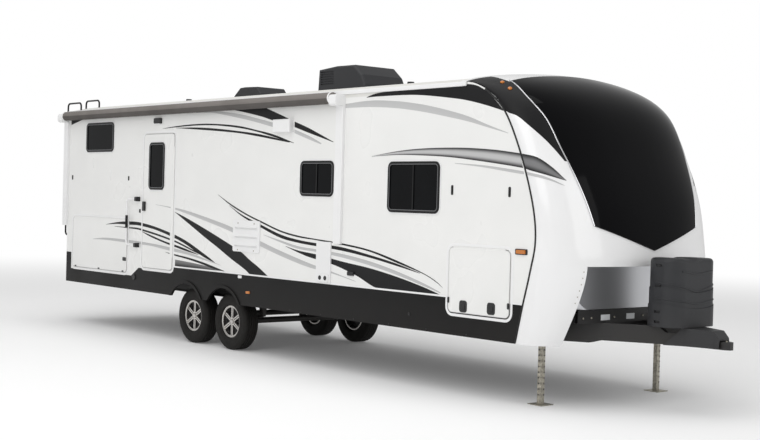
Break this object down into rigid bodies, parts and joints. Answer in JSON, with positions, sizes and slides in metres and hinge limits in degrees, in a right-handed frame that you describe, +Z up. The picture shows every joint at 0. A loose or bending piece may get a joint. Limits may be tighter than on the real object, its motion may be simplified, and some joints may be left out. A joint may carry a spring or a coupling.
{
  "type": "travel caravan",
  "caption": "Long tandem-axle travel caravan with moulded nose cap, hinged door and hatches, slide-out room, rolled awning, A-frame hitch and front stand legs.",
  "frame": {"origin": "on the ground below mid-length, on the centre plane", "axes": "+X forward to the hitch, +Y the off side, -Y the door side, +Z up"},
  "size_m": [11.253, 2.639, 3.61],
  "materials": {
    "white_fibreglass": "moulded fibreglass gel coat, gloss white",
    "white_laminate": "smooth laminated side panel, white",
    "roof_membrane": "white roof membrane, matt",
    "black_skirt": "black coated aluminium skirt, satin",
    "nose_gloss": "black high gloss moulded panel",
    "brushed_panel": "brushed aluminium sheet",
    "frame_steel": "black painted steel",
    "galvanised": "galvanised steel",
    "dark_moulding": "dark grey moulded plastic, fine grain",
    "window_frame_black": "black coated aluminium frame",
    "tinted_glass": "dark tinted safety glass",
    "white_plastic": "white moulded plastic",
    "awning_fabric": "grey rolled awning fabric",
    "floor_board": "sealed floor board",
    "tyre_rubber": "black tyre rubber",
    "alloy_wheel": "machined cast alloy",
    "black_plastic": "black moulded plastic",
    "powder_white": "white powder coat",
    "black_tube": "black coated tube"
  },
  "bodies": {
    "trailer": {"chassis_rails": "frame_steel", "chassis_crossmembers": "frame_steel", "hitch_frame_right": "frame_steel", "hitch_frame_left": "frame_steel", "ball_coupler": "frame_steel", "hitch_frame_cover": "dark_moulding", "gas_bottle_cover": "dark_moulding", "front_legs": "galvanised", "rear_legs": "galvanised", "rear_bumper": "frame_steel", "axles": "frame_steel", "leaf_springs": "frame_steel", "spring_hangers": "frame_steel", "cabin_floor": "floor_board", "side_wall_right": "white_laminate", "side_wall_left": "white_laminate", "rear_wall": "white_laminate", "rear_skirt": "black_skirt", "roof_panel": "roof_membrane", "roof_gutters": "powder_white", "front_cap": "white_fibreglass", "nose_panel": "nose_gloss", "chin_panel": "brushed_panel", "skirt_right": "black_skirt", "skirt_left": "black_skirt", "window_frames": "window_frame_black", "window_panes": "tinted_glass", "grab_handle": "powder_white", "awning_roller": "awning_fabric", "awning_arms": "powder_white", "louvre_panel": "white_plastic", "utility_column": "white_plastic", "light_box": "white_plastic", "roof_cooler": "dark_moulding", "roof_vents": "dark_moulding", "rear_ladder": "black_tube"},
    "wheel_rear_right": {"tyre_rear_right": "tyre_rubber", "rim_rear_right": "alloy_wheel"},
    "wheel_rear_left": {"tyre_rear_left": "tyre_rubber", "rim_rear_left": "alloy_wheel"},
    "wheel_front_right": {"tyre_front_right": "tyre_rubber", "rim_front_right": "alloy_wheel"},
    "wheel_front_left": {"tyre_front_left": "tyre_rubber", "rim_front_left": "alloy_wheel"},
    "door_leaf": {"entry_door": "white_laminate", "entry_door_window_frame": "window_frame_black", "entry_door_pane": "tinted_glass", "entry_door_latch": "black_plastic"},
    "kitchen_lid": {"kitchen_hatch": "white_laminate"},
    "storage_lid_right": {"storage_hatch_right": "white_laminate"},
    "storage_lid_left": {"storage_hatch_left": "white_laminate"},
    "slide_room": {"slide_room_box": "white_laminate", "slide_room_wall": "white_laminate", "slide_room_window_frame": "window_frame_black", "slide_room_pane": "tinted_glass"}
  },
  "joints": [
    {"name": "wheel_rear_right_spin", "type": "hinge", "parent": "trailer", "child": "wheel_rear_right", "pos_m": [-2.031, -1, 0.36], "axis": [0, 1, 0], "continuous": true},
    {"name": "wheel_rear_left_spin", "type": "hinge", "parent": "trailer", "child": "wheel_rear_left", "pos_m": [-2.031, 1, 0.36], "axis": [0, 1, 0], "continuous": true},
    {"name": "wheel_front_right_spin", "type": "hinge", "parent": "trailer", "child": "wheel_front_right", "pos_m": [-1.142, -1, 0.36], "axis": [0, 1, 0], "continuous": true},
    {"name": "wheel_front_left_spin", "type": "hinge", "parent": "trailer", "child": "wheel_front_left", "pos_m": [-1.142, 1, 0.36], "axis": [0, 1, 0], "continuous": true},
    {"name": "entry_door_hinge", "type": "hinge", "parent": "trailer", "child": "door_leaf", "pos_m": [-2.375, -1.2283, 1.85], "axis": [0, 0, 1], "range_deg": [0, 170]},
    {"name": "kitchen_hatch_hinge", "type": "hinge", "parent": "trailer", "child": "kitchen_lid", "pos_m": [-4.4275, -1.2263, 1.59], "axis": [-1, 0, 0], "range_deg": [0, 165]},
    {"name": "storage_hatch_right_hinge", "type": "hinge", "parent": "trailer", "child": "storage_lid_right", "pos_m": [3.4525, -1.2263, 1.505], "axis": [-1, 0, 0], "range_deg": [0, 165]},
    {"name": "storage_hatch_left_hinge", "type": "hinge", "parent": "trailer", "child": "storage_lid_left", "pos_m": [3.4525, 1.2263, 1.505], "axis": [1, 0, 0], "range_deg": [0, 165]},
    {"name": "slide_room_travel", "type": "slide", "parent": "trailer", "child": "slide_room", "axis": [0, 1, 0], "range_m": [0, 0.85]}
  ]
}
